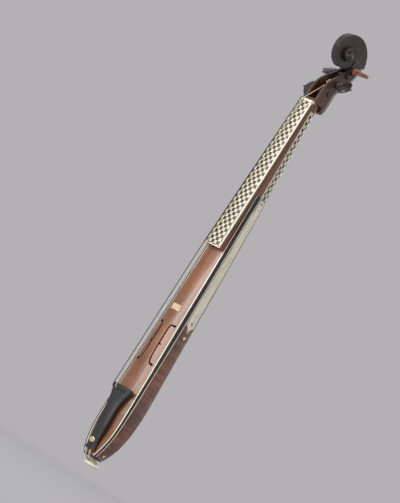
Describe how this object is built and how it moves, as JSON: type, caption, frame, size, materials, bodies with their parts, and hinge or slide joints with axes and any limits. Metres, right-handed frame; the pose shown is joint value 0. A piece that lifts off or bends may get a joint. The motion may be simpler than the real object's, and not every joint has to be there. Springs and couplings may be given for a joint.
{
  "type": "pochette",
  "caption": "Narrow boat-shaped kit fiddle with inlaid staves, chequered fingerboard, scroll head, tuning pegs and remaining strings.",
  "frame": {"origin": "middle of the flat on the end button's outer face", "axes": "+Z along the instrument towards the scroll, +X towards the treble side, the soundboard faces -Y"},
  "size_m": [0.0538, 0.0458, 0.4753],
  "materials": {
    "body_wood": "varnished figured wood",
    "board_wood": "varnished spruce",
    "neck_wood": "varnished wood",
    "head_wood": "dark stained wood",
    "inner_wood": "bare wood",
    "ebony": "polished ebony",
    "peg_wood": "polished dark wood",
    "peg_brown": "polished fruit wood",
    "ivory": "polished ivory colour",
    "chequer": "chequered light and dark inlay",
    "pearl": "pearl inlay",
    "gut": "gut",
    "dark_string": "dark covered string",
    "paper": "aged paper"
  },
  "bodies": {
    "root": {"back_line_bass": "ivory", "back_line_treble": "ivory", "back_stave": "body_wood", "button_collar": "ivory", "dot_back": "ivory", "dot_bass": "ivory", "dot_treble": "ivory", "ebony_rib_bass": "ebony", "ebony_rib_treble": "ebony", "edge_line_bass": "ivory", "edge_line_treble": "ivory", "end_block": "inner_wood", "end_button": "ivory", "end_plate": "ebony", "fingerboard": "neck_wood", "fingerboard_edge_bass": "ivory", "fingerboard_edge_treble": "ivory", "fingerboard_end": "ivory", "fingerboard_plate": "chequer", "head": "head_wood", "lining_bass": "inner_wood", "lining_treble": "inner_wood", "neck_back_stave": "chequer", "neck_core": "neck_wood", "neck_heel": "neck_wood", "neck_stave_bass": "chequer", "neck_stave_treble": "chequer", "nut": "ivory", "panel_back": "ivory", "panel_bass": "ivory", "panel_treble": "ivory", "paper_label": "paper", "pin_back": "ivory", "pin_bass": "ivory", "pin_treble": "ivory", "side_line_bass": "ivory", "side_line_treble": "ivory", "side_stave_bass": "body_wood", "side_stave_treble": "body_wood", "sound_post": "inner_wood", "soundboard": "board_wood", "string_dark": "dark_string", "string_light": "gut", "tail_gut": "gut", "tailpiece": "ebony", "tailpiece_inlay": "pearl"},
    "peg_bass_lower": {"peg_bass_lower": "peg_wood", "winding_dark": "dark_string"},
    "peg_treble_lower": {"peg_treble_lower": "peg_wood", "winding_light": "gut"},
    "peg_bass_upper": {"peg_bass_upper": "peg_wood"},
    "peg_treble_upper": {"peg_treble_upper": "peg_brown"}
  },
  "joints": [
    {"name": "peg_bass_lower_turn", "type": "hinge", "parent": "root", "child": "peg_bass_lower", "pos_m": [0, -0.0005, 0.4116], "axis": [1, 0, 0], "continuous": true},
    {"name": "peg_treble_lower_turn", "type": "hinge", "parent": "root", "child": "peg_treble_lower", "pos_m": [0, 0.0036, 0.4243], "axis": [1, 0, 0], "continuous": true},
    {"name": "peg_bass_upper_turn", "type": "hinge", "parent": "root", "child": "peg_bass_upper", "pos_m": [0, 0.0098, 0.4375], "axis": [1, 0, 0], "continuous": true},
    {"name": "peg_treble_upper_turn", "type": "hinge", "parent": "root", "child": "peg_treble_upper", "pos_m": [0, 0.0137, 0.4453], "axis": [1, 0, 0], "continuous": true}
  ]
}
